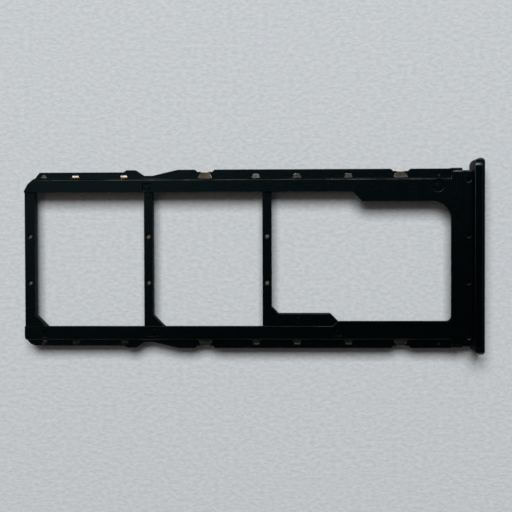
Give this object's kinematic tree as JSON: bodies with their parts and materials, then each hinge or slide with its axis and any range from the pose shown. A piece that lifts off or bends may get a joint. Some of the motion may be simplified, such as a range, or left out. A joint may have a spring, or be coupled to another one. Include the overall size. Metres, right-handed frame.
{
  "type": "sim card tray",
  "caption": "Slide-in telephone tray that holds nano SIM cards and a micro SD card in open pockets, with a steel-cored moulded frame and a cover plate.",
  "frame": {"origin": "centre of the bounding box at the lower edge of the cover plate", "axes": "+X from the insertion end to the cover plate, +Y towards the rail with the keyed corner, +Z out of the contact side"},
  "size_m": [0.037, 0.0156, 0.0033],
  "materials": {
    "black_plastic": "fine-grained matte moulding, black with a trace of teal",
    "stamped_steel": "bright stamped stainless sheet",
    "black_cover": "blue-black anodised satin"
  },
  "bodies": {
    "root": {"moulded_frame": "black_plastic", "steel_insert": "stamped_steel", "faceplate": "black_cover"}
  },
  "joints": []
}
